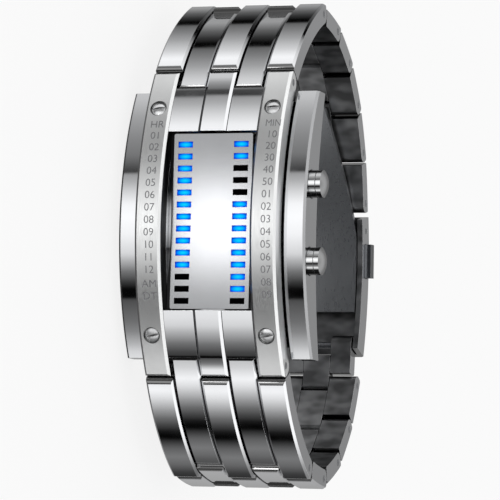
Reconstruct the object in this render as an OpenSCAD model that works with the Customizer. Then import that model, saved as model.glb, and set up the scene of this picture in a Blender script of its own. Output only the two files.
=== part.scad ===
// Bracelet watch with a light-bar display, five-column links and a folding clasp.
// Drawn with x towards 12 o'clock, y out of the dial and z towards 3 o'clock, then laid on its 9 o'clock side.
// The origin is the centre of the left guard's flat outer face, on which the watch rests.

/* [Head] */
// Radius of the curved front, across the bezel bars
face_r = 49.3; // [46:0.1:56]
// Length of the head from lug end to lug end, straight across
head_l = 55; // [54:0.1:57]
// Depth from the middle of the front to the face that the case back closes
case_d = 10.9; // [10.8:0.1:12]
// Thickness of the case back
back_t = 1.2; // [0.8:0.1:1.6]
// Length of the case back
back_l = 39; // [37:0.5:40]
// Width of the case back
back_w = 25; // [24.6:0.1:25.4]
// Polished bevel along both edges of each bezel bar
bar_bevel = 0.45; // [0.2:0.05:0.8]
// Width of each bezel bar
bar_w = 4.73; // [4.3:0.01:4.9]
// Step of the shoulder blocks below the bezel bars
shoulder_drop = 0.45; // [0.2:0.05:0.8]

/* [Guards] */
// Distance from the middle of the watch to a guard's outer face
guard_out = 17.2; // [16.5:0.1:18]
// Length of a side guard
guard_l = 47.6; // [44:0.2:50]
// Step of the guards' front below the bezel bars
guard_drop = 3.8; // [3.2:0.1:4.4]
// Depth of a guard at its middle
guard_d = 7.2; // [6.8:0.1:8]
// Radius of the guards' wrist side
guard_back_r = 82.7; // [70:0.5:110]
// Bevel along a guard's edges
guard_bevel = 0.4; // [0.1:0.05:0.6]

/* [Display] */
// Length of the display plate
plate_l = 31; // [31:0.1:31.6]
// Width of the display plate
plate_w = 14.5; // [14:0.1:15.2]
// Thickness of the display plate
plate_t = 0.8; // [0.6:0.05:1]
// Depth of the plate's front below the middle of the bezel bars
plate_d = 4; // [3.6:0.1:4.2]
// Number of light windows in one column
rows = 14; // [12:1:14]
// Distance between two rows of windows
row_p = 2.13; // [2:0.01:2.2]
// Distance from the middle of the plate to the middle of a column of windows
window_x = 5.15; // [4.6:0.05:5.3]
// Length of a window across the plate
window_l = 2.7; // [2:0.1:2.8]
// Height of a window along the plate
window_h = 1.08; // [0.7:0.02:1.2]

/* [Movement] */
// Room for the movement beyond the first and the last window
room_end = 0.6; // [0.5:0.05:1]
// Width of the room for the movement
room_w = 20.6; // [20.2:0.1:21]
// Thickness of the circuit board
board_t = 0.8; // [0.6:0.05:0.9]
// Radius of the button cell
cell_r = 8; // [6:0.1:8.2]
// Thickness of the button cell
cell_t = 2; // [1.6:0.1:2.1]
// Gap between the circuit board's seat and the button cell
cell_room = 0.2; // [0.1:0.05:0.3]
// Depth of the case behind the button cell
cell_back = 0.9; // [0.9:0.05:1.1]

/* [Pushers] */
// Distance from the middle of the head to each pusher's axis
pusher_x = 6.8; // [5.5:0.1:9]
// Radius of a pusher's cap
cap_r = 2.45; // [2:0.05:2.6]
// Length of a cap that stands out of the guard
cap_out = 3; // [2.2:0.1:3.6]
// Radius of a pusher's stem
stem_r = 0.9; // [0.7:0.05:1]
// Travel of a pusher
pusher_travel = 0.8; // [0.4:0.1:0.9]

/* [Screws] */
// Distance from the middle of the head to a bezel screw
screw_x = 20.2; // [19.8:0.1:20.6]
// Radius of a bezel screw's head
screw_r = 1.3; // [1:0.05:1.4]
// Width of a screwdriver slot
slot_w = 0.34; // [0.2:0.02:0.5]

/* [Bracelet] */
// Width of one of the five columns, with its share of the side gaps
col_p = 5.2; // [5.2:0.01:5.3]
// Gap at each side of a column
col_gap = 0.07; // [0.05:0.01:0.12]
// Thickness of a link
link_t = 3.5; // [3.3:0.05:3.6]
// Gap between the ends of neighbouring links
end_gap = 0.3; // [0.25:0.01:0.4]
// Step of the second and fourth columns below the others
col_drop = 0.35; // [0.1:0.05:0.6]
// Bevel along the columns' outer edges
col_bevel = 0.4; // [0.1:0.05:0.6]
// Distance between the pins of a link
link_l = 9.7; // [9.5:0.05:9.9]
// Distance between the pins of the long upper link beside the head
upper_l = 23.8; // [23.4:0.1:24.2]
// Distance between the pins of the long lower link beside the head
lower_l = 23.8; // [23.4:0.1:24.2]
// Radius of a long link's middle line
long_r = 42; // [38:0.5:60]
// Radius of a link's middle line
short_r = 60; // [40:1:100]
// Radius of a bracelet pin
pin_r = 0.6; // [0.4:0.05:0.7]

/* [Clasp] */
// Radius of the cover's outer face
clasp_r = 56.3; // [56:0.1:57]
// Thickness of the cover's plate
cover_t = 1.4; // [1:0.1:1.5]
// Thickness of the cover's side walls
cover_wall = 1; // [0.8:0.05:1.1]
// Length of the cover past the middle leaf's pin, towards 12 o'clock
cover_up = 2.6; // [1.7:0.1:2.6]
// Length of the cover below the middle leaf's upper pin
cover_down = 24.6; // [23.5:0.1:25.5]
// Thickness of the middle leaf
middle_t = 1.6; // [1.4:0.05:1.7]
// Width of the middle leaf
middle_w = 11; // [8:0.5:12]
// Distance between the middle leaf's pins
middle_l = 13.2; // [12:0.1:14]
// Thickness of the inner leaf
inner_t = 1.3; // [1:0.05:1.4]
// Length of the inner leaf's tongue past the bracelet pin
tongue_l = 17; // [14:0.5:18]
// Width of the tongue's end
tongue_w = 15; // [12:0.5:20]
// Length of a clasp button along the cover
button_l = 6.4; // [5:0.2:8]
// Height of a clasp button
button_h = 2.2; // [1.8:0.1:2.3]
// Distance that a clasp button stands out of the cover
button_out = 1.2; // [1:0.1:1.8]

/* [Hidden] */
$fn = 48;

steel = "silver";
dark_steel = "dimgray";

// Clearances: running pins, parts that lie face to face, and overshoot of cutting tools
run_gap = 0.04;
seat_gap = 0.05;
over = 1;

// Columns
half_w = 2.5 * col_p;
col_w = col_p - 2 * col_gap;
bar_z = half_w - col_gap - bar_w / 2;
bar_in = bar_z - bar_w / 2;
groove_d = 1;

// Ends of links: the knuckle round the pin, its fuller outer corner, and the wall that it faces.
// The nose is a little fuller than the band is thick, so that the band's faces cut it cleanly.
knuckle_r = link_t / 2;
nose_r = knuckle_r + 0.05;
corner_r = 1.14 * knuckle_r;
corner_s = 0.97 * nose_r;
wall_s = knuckle_r + end_gap;
core_lift = 0.25;
core_back = 0.4;

// Rounded outer edge of a wall, which stands a little proud of the two faces that it joins
wall_round = 1.25;
round_proud = 0.03;
round_s = wall_s - round_proud + wall_round;
round_lap = 0.12;

// Head: the lug pin sits one knuckle short of the bar's end
head_rm = face_r - link_t / 2;
lug_end_a = asin(head_l / 2 / face_r);
lug_a = lug_end_a - knuckle_r / head_rm * 180 / PI;
lug_p = [head_rm * sin(lug_a), head_rm * cos(lug_a) - face_r];
flank_r = face_r - link_t - seat_gap;
flank_w = 2 * (half_w - seat_gap);
flank_x = lug_p[0] - wall_s - 1.2;
seat_d = plate_d + plate_t + seat_gap;
recess_x = plate_l / 2 + 0.35;
shoulder_r = face_r - shoulder_drop;

// Guards
guard_r = face_r - guard_drop;
guard_in = half_w + seat_gap;
guard_mid = guard_drop + guard_d / 2;

// Movement, from the front: light mask, board with chips, frame with the cell, gasket
room_l = (rows - 1) * row_p + window_h + 2 * room_end;
room_gap = 0.2;
mask_l = room_l - 2 * room_gap;
mask_w = 13.2;
row_drop = 0.25;
room_d = case_d - cell_back - cell_t - cell_room - board_t - 2 * seat_gap;
mask_t = room_d - seat_d - seat_gap;
well_grow = 0.3;
chip_w = 1.6;
chip_h = 0.8;
chip_t = 0.8;
board_d = room_d + seat_gap;
frame_d = board_d + board_t + seat_gap;
cell_d = frame_d + cell_room;
cell_x = -3;
contact_t = 0.2;
contact_gap = 0.1;
frame_t = cell_d + cell_t + contact_gap + contact_t - frame_d;
contact_w = 4;
gasket_w = 0.7;
gasket_r = 2;
gasket_t = 0.5;
gasket_l = room_l + 2.2;
gasket_span = room_w + 1.6;
back_screw_x = back_l / 2 - 1.9;
back_screw_z = back_w / 2 - 1.9;
back_screw_r = 1.1;
shaft_r = 0.5;
shaft_l = 3;
bezel_shaft_l = 4;

// Screws of the bezel bars
screw_a = asin(screw_x / face_r);
screw_ring = 0.22;
screw_sink = 0.55;
dome_r = 2.2;

// Pushers
bush_r = 1.6;
bush_in = room_w / 2 + 0.1;
bush_out = half_w - 0.05;
seal_r = 1.35;
spring_bore = 1.7;
spring_t = 0.25;
cap_sink = 1.1;
cap_gap = 0.1;
cap_under = guard_out - cap_sink + pusher_travel + 0.15;
cap_groove = 0.15;
cap_split = 0.4;
stem_end = room_w / 2 - 0.4;
neck_r = stem_r + 0.5;
neck_t = 0.3;
neck_room = 1.5;

// Bracelet: pin distances and directions of the links, from the head to the clasp
upper_ls = [upper_l, link_l, link_l, link_l, link_l, link_l];
upper_as = [-50, -100, -118, -136, -152, -166];
lower_ls = [lower_l, link_l, link_l, link_l, link_l];
lower_as = [-43.4, -80, -110, -132, -150];

function pin_at(i, ls, as) =
    i == 0 ? lug_p : pin_at(i - 1, ls, as) + ls[i - 1] * [cos(as[i - 1]), sin(as[i - 1])];

// Clasp: every leaf lies on arcs about one centre, set from the last upper pin
leaf_pin_r = clasp_r - knuckle_r;
hinge_sink = 2.5;
hinge_r = clasp_r - hinge_sink;
inner_sink = 3.7;
inner_r = clasp_r - inner_sink;
wrist_sink = 4.9;
clasp_in = clasp_r - wrist_sink;
upper_end_a = 14.1;
upper_end = pin_at(6, upper_ls, upper_as);
clasp_c = upper_end - leaf_pin_r * [sin(upper_end_a), -cos(upper_end_a)];
bar_sink = 3.7;
bar_seat_r = clasp_r - bar_sink;
cover_pin_x = 5.3;
cover_pin_a = asin((upper_end[0] - clasp_c[0] - cover_pin_x) / hinge_r);
leaf_pin_a = cover_pin_a - 2 * asin(middle_l / 2 / hinge_r);
bar_seat_a = -15.4;
ear_r = 1;
ear_w = 2;
middle_nose_r = middle_t / 2 + 0.05;
leaf_pin_half = middle_w / 2 + 0.2 + ear_w;
inner_w = flank_w - 2 * cover_wall - 0.3;
cover_in = half_w - cover_wall;
button_a = (cover_pin_a + leaf_pin_a) / 2 + 0.9;
button_r = hinge_r + 0.2;
button_gap = 0.06;
button_depth = 0.9;
button_step = 0.35;

function round_clasp(r, a) = clasp_c + r * [sin(a), -cos(a)];

bar_seat = round_clasp(bar_seat_r, bar_seat_a);
lower_last = pin_at(5, lower_ls, lower_as);
lower_step = [-bar_seat[0], bar_seat[1]] - lower_last;
lower_last_l = norm(lower_step);
lower_last_a = atan2(lower_step[1], lower_step[0]) - (lower_step[1] > 0 ? 360 : 0);
last_w = 2 * cover_in - 0.4;
bar_half = cover_in - 0.4;

// Lays the watch on the left guard's face
module laid() {
    translate([0, -guard_mid, guard_out])
        rotate([0, 0, 180])
            children();
}

// A side view with the given width, centred on z
module slab(w, z = 0) {
    translate([0, 0, z - w / 2])
        linear_extrude(w)
            children();
}

// A pin along z, from one height to another
module post(r, low, high) {
    translate([0, 0, low])
        cylinder(r = r, h = high - low);
}

// A box from its centre in x and z, and its two depths below the front's middle
module block(l, w, low_d, high_d) {
    translate([-l / 2, -low_d, -w / 2])
        cube([l, low_d - high_d, w]);
}

// The ring that a curved bar of given radii and width is cut from, bevelled on its outer edges
module bevel_ring(r_in, r_out, w, bevel) {
    rotate_extrude($fn = 96)
        polygon(concat(
            [[r_in, -w / 2]],
            bevel > 0 ? [[r_out - bevel, -w / 2], [r_out, bevel - w / 2], [r_out, w / 2 - bevel]] : [[r_out, -w / 2]],
            [[r_out - bevel, w / 2], [r_in, w / 2]]
        ));
}

// Rounded rectangle in the x-z plane, standing between two depths
module pad(l, w, r, low_d, high_d) {
    translate([0, -high_d, 0])
        rotate([90, 0, 0])
            linear_extrude(low_d - high_d) {
                square([l - 2 * r, w], center = true);
                square([l, w - 2 * r], center = true);
                for (sx = [-1, 1], sz = [-1, 1])
                    translate([sx * (l / 2 - r), sz * (w / 2 - r)])
                        circle(r = r);
            }
}

// Side view of a column's knuckle at the origin, with the link towards -x
module knuckle() {
    circle(r = nose_r);
    intersection() {
        circle(r = corner_r);
        square([corner_s, 2 * knuckle_r]);
    }
}

// Side view of a head bar's band, from one lug pin to the other, with both knuckles
module head_band() {
    reach = 14;
    polygon(concat(
        [[0, -face_r]],
        [for (s = [1, -1]) lug_p[0] * [s, 0] + [0, lug_p[1]] + reach * [s * sin(lug_a), cos(lug_a)]]
    ));
    for (s = [0, 1])
        mirror([s, 0])
            translate(lug_p)
                rotate(-lug_a)
                    knuckle();
}

// Region of the head between the walls that face the first links' knuckles
module between_walls() {
    reach = 30;
    inner = [for (k = [1, -1]) lug_p - wall_s * [cos(lug_a), -sin(lug_a)] + k * reach * [sin(lug_a), cos(lug_a)]];
    polygon([inner[0], inner[1], [-inner[1][0], inner[1][1]], [-inner[0][0], inner[0][1]]]);
}

module case_body() {
    color(steel)
        laid()
            difference() {
                union() {
                    intersection() {
                        translate([0, -face_r, 0])
                            cylinder(r = shoulder_r, h = 2 * (bar_in - seat_gap), center = true, $fn = 96);
                        slab(3 * half_w)
                            between_walls();
                        block(head_l, flank_w, case_d, -over);
                    }
                    intersection() {
                        translate([0, -face_r, 0])
                            cylinder(r = flank_r, h = flank_w, center = true, $fn = 96);
                        block(2 * flank_x, flank_w, case_d, -over);
                    }
                }
                block(2 * recess_x, 2 * bar_in, seat_d, -over);
                block(mask_l + 2 * seat_gap, mask_w + 2 * seat_gap, case_d, plate_d);
                block(room_l, room_w, case_d + over, room_d);
                centre_slot();
                for (s = [-1, 1])
                    translate([s * pusher_x, -guard_mid, 0])
                        post(bush_r + 0.01, room_w / 2 - neck_room, half_w + over);
                for (sx = [-1, 1], sz = [-1, 1])
                    bezel_screw_place(sx, sz)
                        rotate([90, 0, 0])
                            cylinder(r = shaft_r + run_gap, h = link_t + shaft_l);
                for (sx = [-1, 1], sz = [-1, 1])
                    translate([sx * back_screw_x, -case_d - over, sz * back_screw_z])
                        rotate([-90, 0, 0])
                            cylinder(r = shaft_r + run_gap, h = over + shaft_l - 0.6);
                gasket_ring(case_d + over, case_d - gasket_t, seat_gap);
            }
}

// The slots between the shoulder blocks, in which the centre bars lie
module centre_slot() {
    difference() {
        block(head_l + 2 * over, col_p + 2 * seat_gap, case_d + over, -over);
        translate([0, -face_r, 0])
            cylinder(r = flank_r, h = 2 * col_p, center = true, $fn = 96);
    }
}

// Moves to a bezel screw: origin on the bar's outer face, y along the face's normal
module bezel_screw_place(sx, sz) {
    translate([sx * face_r * sin(screw_a), face_r * (cos(screw_a) - 1), sz * bar_z])
        rotate([0, 0, -sx * screw_a])
            children();
}

module bezel_bar(side) {
    color(steel)
        laid()
            difference() {
                intersection() {
                    translate([0, -face_r, side * bar_z])
                        bevel_ring(face_r - link_t, face_r, bar_w, bar_bevel);
                    slab(bar_w + over, side * bar_z)
                        head_band();
                }
                lug_bores();
                for (sx = [-1, 1])
                    bezel_screw_place(sx, side) {
                        rotate([90, 0, 0])
                            cylinder(r = shaft_r + run_gap, h = link_t + over);
                        translate([0, -screw_sink, 0])
                            rotate([-90, 0, 0])
                                cylinder(r = screw_r + screw_ring, h = screw_sink + over);
                    }
            }
}

module lug_bores() {
    for (s = [-1, 1])
        translate([s * lug_p[0], lug_p[1], 0])
            post(pin_r + run_gap, -half_w - over, half_w + over);
}

module centre_bar(side) {
    color(steel)
        laid()
            difference() {
                intersection() {
                    translate([0, -face_r, 0])
                        bevel_ring(face_r - link_t, face_r, col_w, bar_bevel);
                    slab(col_w + over)
                        head_band();
                    translate([side > 0 ? recess_x : -head_l, -2 * case_d, -half_w])
                        cube([head_l - recess_x, 3 * case_d, 2 * half_w]);
                }
                lug_bores();
            }
}

// Side view of a guard: the front follows the bars, the wrist side is flatter
module guard_side() {
    difference() {
        intersection() {
            translate([0, -face_r])
                circle(r = guard_r, $fn = 96);
            translate([-guard_l / 2, -face_r / 2])
                square([guard_l, face_r / 2]);
        }
        translate([0, -guard_drop - guard_d - guard_back_r])
            circle(r = guard_back_r, $fn = 96);
    }
}

module side_guard(side) {
    guard_w = guard_out - guard_in;
    guard_z = side * (guard_in + guard_w / 2);
    color(steel)
        laid()
            difference() {
                intersection() {
                    translate([0, -face_r, guard_z])
                        bevel_ring(face_r / 2, guard_r, guard_w, guard_bevel);
                    slab(guard_w + over, guard_z)
                        guard_side();
                }
                if (side > 0)
                    for (s = [-1, 1])
                        translate([s * pusher_x, -guard_mid, 0]) {
                            post(spring_bore, guard_in - over, guard_out);
                            post(cap_r + cap_gap, guard_out - cap_sink, guard_out + over);
                        }
            }
}

// Slotted screw with a domed head, along -y from the head's seat
module slotted_screw(r, length, turn) {
    difference() {
        union() {
            intersection() {
                translate([0, screw_sink - dome_r, 0])
                    sphere(r = dome_r, $fn = 64);
                rotate([-90, 0, 0])
                    cylinder(r = r, h = 2 * screw_sink);
            }
            rotate([90, 0, 0])
                cylinder(r = shaft_r, h = length);
        }
        rotate([0, turn, 0])
            translate([-slot_w / 2, screw_sink - 0.38, -r - over])
                cube([slot_w, over, 2 * (r + over)]);
    }
}

module bezel_screws() {
    color(steel)
        laid()
            for (sx = [-1, 1], sz = [-1, 1])
                bezel_screw_place(sx, sz)
                    translate([0, seat_gap - screw_sink, 0])
                        slotted_screw(screw_r, bezel_shaft_l, sz > 0 && sx > 0 ? 6 : 10);
}

// Row heights are counted from the top, as the windows are read
function row_x(i) = ((rows - 1) / 2 - i) * row_p - row_drop;
function is_lit(side, i) = side < 0 ? i < 11 : (i < 2 || (i > 4 && i < 13));

module window_box(side, i, grow, low_d, high_d) {
    translate([row_x(i), 0, side * window_x])
        block(window_h + 2 * grow, window_l + 2 * grow, low_d, high_d);
}

module display_plate() {
    color("gainsboro")
        laid()
            difference() {
                pad(plate_l, plate_w, 0.3, plate_d + plate_t, plate_d);
                for (side = [-1, 1], i = [0:rows - 1])
                    window_box(side, i, 0, plate_d + plate_t + over, plate_d - over);
            }
}

module windows(lit) {
    for (side = [-1, 1], i = [0:rows - 1])
        if (is_lit(side, i) == lit)
            window_box(side, i, -0.01, plate_d + plate_t, plate_d + 0.12);
}

module lit_windows() {
    color("deepskyblue")
        laid()
            windows(true);
}

module dark_windows() {
    color("black")
        laid()
            windows(false);
}

// Room for the pushers' inner ends, from a given height outwards
module neck_bores(r, low) {
    for (s = [-1, 1])
        translate([s * pusher_x, -guard_mid, 0])
            post(r, low, half_w);
}

module light_mask() {
    color("black")
        laid()
            difference() {
                block(mask_l, mask_w, seat_d + mask_t, seat_d);
                for (side = [-1, 1], i = [0:rows - 1])
                    window_box(side, i, well_grow, seat_d + mask_t + over, seat_d + 0.3);
                for (side = [-1, 1], i = [0:rows - 1])
                    window_box(side, i, -0.2, seat_d + mask_t + over, seat_d - over);
            }
}

module led_chips() {
    color("white")
        laid()
            for (side = [-1, 1], i = [0:rows - 1])
                translate([row_x(i), 0, side * window_x])
                    block(chip_h, chip_w, board_d, board_d - chip_t);
}

module circuit_board() {
    color("darkgreen")
        laid()
            difference() {
                pad(room_l - 2 * room_gap, room_w - 2 * room_gap, 0.8, board_d + board_t, board_d);
                neck_bores(neck_r + 0.2, room_w / 2 - neck_room);
            }
}

module module_frame() {
    color("dimgray")
        laid()
            difference() {
                pad(room_l - 2 * room_gap, room_w - 2 * room_gap, 0.8, frame_d + frame_t, frame_d);
                translate([cell_x, -case_d, 0])
                    rotate([-90, 0, 0])
                        cylinder(r = cell_r + 0.1, h = case_d - cell_d + seat_gap);
                translate([cell_x, 0, 0])
                    block(2 * cell_r + contact_w + 1, contact_w + 0.4, case_d,
                        frame_d + frame_t - contact_t - seat_gap);
                neck_bores(neck_r + 0.2, room_w / 2 - neck_room);
            }
}

module battery() {
    color("silver")
        laid()
            translate([cell_x, -cell_d - cell_t, 0])
                rotate([-90, 0, 0]) {
                    cylinder(r = cell_r, h = cell_t * 0.8);
                    cylinder(r = cell_r * 0.85, h = cell_t);
                }
}

module battery_contact() {
    color("gold")
        laid()
            translate([cell_x, 0, 0])
                block(2 * cell_r + contact_w, contact_w, frame_d + frame_t, frame_d + frame_t - contact_t);
}

module gasket_ring(low_d, high_d, grow) {
    difference() {
        pad(gasket_l + 2 * grow, gasket_span + 2 * grow, gasket_r, low_d, high_d);
        pad(gasket_l - 2 * gasket_w - 2 * grow, gasket_span - 2 * gasket_w - 2 * grow, gasket_r - gasket_w,
            low_d + over, high_d - over);
    }
}

module case_gasket() {
    color("black")
        laid()
            gasket_ring(case_d, case_d - gasket_t + seat_gap, 0);
}

module case_back() {
    color(steel)
        laid()
            difference() {
                pad(back_l, back_w, 3, case_d + back_t + 0.02, case_d + 0.02);
                for (sx = [-1, 1], sz = [-1, 1])
                    translate([sx * back_screw_x, -case_d - back_t - over, sz * back_screw_z])
                        rotate([-90, 0, 0]) {
                            cylinder(r = shaft_r + run_gap, h = back_t + 2 * over);
                            cylinder(r = back_screw_r + run_gap, h = over + 0.6);
                        }
            }
}

module case_back_screws() {
    color(steel)
        laid()
            for (sx = [-1, 1], sz = [-1, 1])
                translate([sx * back_screw_x, -case_d - back_t, sz * back_screw_z])
                    rotate([-90, 0, 0])
                        difference() {
                            union() {
                                cylinder(r = back_screw_r, h = 0.5);
                                cylinder(r = shaft_r, h = back_t + shaft_l - 1);
                            }
                            rotate(35 * sx)
                                translate([-slot_w / 2, -back_screw_r - over, -over])
                                    cube([slot_w, 2 * (back_screw_r + over), over + 0.25]);
                        }
}

module at_pushers() {
    for (s = [-1, 1])
        translate([s * pusher_x, -guard_mid, 0])
            children();
}

module pusher_bushes() {
    color("goldenrod")
        laid()
            at_pushers()
                difference() {
                    post(bush_r, bush_in, bush_out);
                    post(stem_r + run_gap, bush_in - over, bush_out + over);
                    post(seal_r, bush_out - 0.8, bush_out + over);
                }
}

module pusher_seals() {
    color("black")
        laid()
            at_pushers()
                difference() {
                    post(seal_r - 0.01, bush_out - 0.79, bush_out);
                    post(stem_r + run_gap, bush_out - over, bush_out + over);
                }
}

module pusher_spring(s) {
    color("silver")
        laid()
            translate([s * pusher_x, -guard_mid, 0])
                difference() {
                    post(spring_bore - 0.1, bush_out, cap_under);
                    post(spring_bore - 0.1 - spring_t, bush_out - over, cap_under + over);
                }
}

module pusher(s) {
    cap_top = guard_out + cap_out;
    mid = guard_out + cap_split * cap_out;
    dome = 1.7 * cap_r;
    color(steel)
        laid()
            translate([s * pusher_x, -guard_mid, 0]) {
                post(stem_r, stem_end, cap_under + 0.2);
                post(neck_r, stem_end, stem_end + neck_t);
                post(cap_r, cap_under, mid);
                post(cap_r - cap_groove, mid - 0.1, mid + cap_groove + 0.1);
                intersection() {
                    post(cap_r, mid + cap_groove, cap_top);
                    translate([0, 0, cap_top - dome])
                        sphere(r = dome, $fn = 64);
                }
            }
}

module lug_pins() {
    color(dark_steel)
        laid()
            for (s = [-1, 1])
                translate([s * lug_p[0], lug_p[1], 0])
                    post(pin_r, col_gap - half_w, half_w - col_gap);
}

// Half the angle that a link's middle line turns between its pins
function half_turn(l, r) = asin(l / 2 / r);

// Moves to a link's first or second pin, with x along the middle line there
module at_first(l, r) {
    rotate(half_turn(l, r))
        children();
}

module at_second(l, r) {
    translate([l, 0])
        rotate(-half_turn(l, r))
            children();
}

// A point near a link's first or second pin, given along and across the middle line
function near_first(l, r, p) =
    let (a = half_turn(l, r)) [p[0] * cos(a) - p[1] * sin(a), p[0] * sin(a) + p[1] * cos(a)];
function near_second(l, r, p) =
    let (a = half_turn(l, r)) [l + p[0] * cos(a) + p[1] * sin(a), -p[0] * sin(a) + p[1] * cos(a)];

// Side view of a link between two stations: s0 past its first pin, s1 past its second
module link_span(l, r, s0, s1) {
    polygon([
        near_first(l, r, [s0, 9]), near_second(l, r, [s1, 9]),
        near_second(l, r, [s1, -5]), near_first(l, r, [s0, -5])
    ]);
}

// Side view of a column's wall beside the first pin, with its outer edge rounded
module wall_end(l, r, drop) {
    mid_r = r + link_t / 2 - drop + round_proud - wall_round;
    y = sqrt(mid_r * mid_r - round_s * round_s) - r;
    polygon([
        for (p = [[wall_s, y], [round_s + 1, y], [round_s + 1, -5], [wall_s, -5]])
            near_first(l, r, p)
    ]);
    translate(near_first(l, r, [round_s, y]))
        circle(r = wall_round);
}

// First, third and fifth columns: wall at the first pin, knuckle at the second
module outer_side(l, r) {
    link_span(l, r, round_s - round_lap, 0);
    wall_end(l, r, 0);
    at_second(l, r)
        knuckle();
}

// Second and fourth columns: knuckle at the first pin, wall at the second
module inner_side(l, r) {
    link_span(l, r, 0, round_lap - round_s);
    translate([l, 0])
        mirror([1, 0])
            wall_end(l, r, col_drop);
    at_first(l, r)
        mirror([1, 0])
            knuckle();
}

// Places a ring about the centre of a link's middle line
module link_ring(l, r, lift, drop, w, z, bevel) {
    translate([l / 2, -sqrt(r * r - l * l / 4), z])
        bevel_ring(r - link_t / 2 + lift, r + link_t / 2 - drop, w, bevel);
}

module link_column(l, r, lift, w, z, drop, bevel) {
    intersection() {
        link_ring(l, r, lift, drop, w, z, bevel);
        slab(w + over, z)
            children();
    }
}

// A link: five columns joined by a core, bored for its two pins
module link(l, r, full_w) {
    side_w = full_w / 2 - 1.5 * col_p - col_gap;
    side_z = full_w / 2 - side_w / 2;
    difference() {
        union() {
            for (s = [-1, 1])
                link_column(l, r, 0, side_w, s * side_z, 0, col_bevel)
                    outer_side(l, r);
            link_column(l, r, 0, col_w, 0, 0, col_bevel)
                outer_side(l, r);
            for (s = [-1, 1])
                link_column(l, r, 0, col_w, s * col_p, col_drop, col_bevel)
                    inner_side(l, r);
            link_column(l, r, core_lift, full_w - 0.6, 0, groove_d, 0)
                link_span(l, r, wall_s + core_back, -wall_s - core_back);
        }
        post(pin_r + run_gap, -half_w - over, half_w + over);
        translate([l, 0, 0])
            post(pin_r + run_gap, -half_w - over, half_w + over);
    }
}

full_link_w = 2 * half_w - 2 * col_gap;

module top_place(i) {
    p = pin_at(i - 1, upper_ls, upper_as);
    laid()
        translate([p[0], p[1], 0])
            rotate([0, 0, upper_as[i - 1]])
                children();
}

module bottom_place(i) {
    p = pin_at(i - 1, lower_ls, lower_as);
    laid()
        mirror([1, 0, 0])
            translate([p[0], p[1], 0])
                rotate([0, 0, i == 6 ? lower_last_a : lower_as[i - 1]])
                    children();
}

module link_top(i) {
    color(steel)
        top_place(i)
            link(upper_ls[i - 1], i == 1 ? long_r : short_r, full_link_w);
}

module pin_top(i) {
    color(dark_steel)
        top_place(i)
            translate([upper_ls[i - 1], 0, 0])
                post(pin_r, col_gap - half_w, half_w - col_gap);
}

module link_bottom(i) {
    l = i == 6 ? lower_last_l : lower_ls[i - 1];
    color(steel)
        bottom_place(i)
            link(l, i == 1 ? long_r : short_r, i == 6 ? last_w : full_link_w);
}

module pin_bottom(i) {
    color(dark_steel)
        bottom_place(i)
            translate([lower_ls[i - 1], 0, 0])
                post(pin_r, col_gap - half_w, half_w - col_gap);
}

// The spring bar's tips are drawn in, so that the cover can leave it
module spring_bar() {
    color(dark_steel)
        bottom_place(6)
            translate([lower_last_l, 0, 0])
                post(pin_r, -bar_half, bar_half);
}

// Places children about the clasp's centre
module about_clasp() {
    laid()
        translate([clasp_c[0], clasp_c[1], 0])
            children();
}

module at_clasp(r, a) {
    about_clasp()
        translate([r * sin(a), -r * cos(a), 0])
            children();
}

// Side view between two angles about the clasp's centre
module clasp_wedge(a0, a1) {
    reach = 1.4 * clasp_r;
    polygon([[0, 0], reach * [sin(a0), -cos(a0)], reach * [sin(a1), -cos(a1)]]);
}

module clasp_inner_leaf() {
    low_x = hinge_r * sin(leaf_pin_a) - 2.4;
    lug_x = leaf_pin_r * sin(upper_end_a);
    high_x = lug_x + tongue_l;
    taper_x = hinge_r * sin(cover_pin_a) - 1;
    color("darkgray")
        about_clasp()
            difference() {
                union() {
                    intersection() {
                        difference() {
                            cylinder(r = inner_r, h = inner_w, center = true, $fn = 96);
                            cylinder(r = inner_r - inner_t, h = inner_w + over, center = true, $fn = 96);
                        }
                        rotate([90, 0, 0])
                            linear_extrude(clasp_r)
                                polygon([
                                    [low_x, -inner_w / 2], [taper_x, -inner_w / 2],
                                    [high_x, -tongue_w / 2], [high_x, tongue_w / 2],
                                    [taper_x, inner_w / 2], [low_x, inner_w / 2]
                                ]);
                    }
                    for (s = [-1, 1])
                        inner_leaf_lug(s * col_p, col_w, leaf_pin_r, upper_end_a, knuckle_r);
                    for (s = [-1, 1])
                        inner_leaf_lug(s * (leaf_pin_half - ear_w / 2), ear_w, hinge_r, leaf_pin_a, ear_r);
                }
                translate([leaf_pin_r * sin(upper_end_a), -leaf_pin_r * cos(upper_end_a), 0])
                    post(pin_r + run_gap, -half_w, half_w);
                translate([hinge_r * sin(leaf_pin_a), -hinge_r * cos(leaf_pin_a), 0])
                    post(shaft_r + run_gap, -half_w, half_w);
            }
}

// A lug that stands from the inner leaf up to a pin at radius r and angle a
module inner_leaf_lug(z, w, r, a, lug_r) {
    slab(w, z) {
        translate([r * sin(a), -r * cos(a)])
            circle(r = lug_r);
        rotate(a)
            translate([-lug_r * 0.8, -r])
                square([1.6 * lug_r, r - inner_r + inner_t / 2]);
    }
}

module clasp_middle_leaf() {
    color("darkgray")
        about_clasp()
            difference() {
                union() {
                    intersection() {
                        difference() {
                            cylinder(r = hinge_r + middle_t / 2, h = middle_w, center = true, $fn = 96);
                            cylinder(r = hinge_r - middle_t / 2, h = middle_w + over, center = true, $fn = 96);
                        }
                        slab(middle_w + over)
                            clasp_wedge(leaf_pin_a, cover_pin_a);
                    }
                    for (a = [leaf_pin_a, cover_pin_a])
                        translate([hinge_r * sin(a), -hinge_r * cos(a), 0])
                            post(middle_nose_r, -middle_w / 2, middle_w / 2);
                }
                for (a = [leaf_pin_a, cover_pin_a])
                    translate([hinge_r * sin(a), -hinge_r * cos(a), 0])
                        post(shaft_r + run_gap, -half_w, half_w);
            }
}

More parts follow.
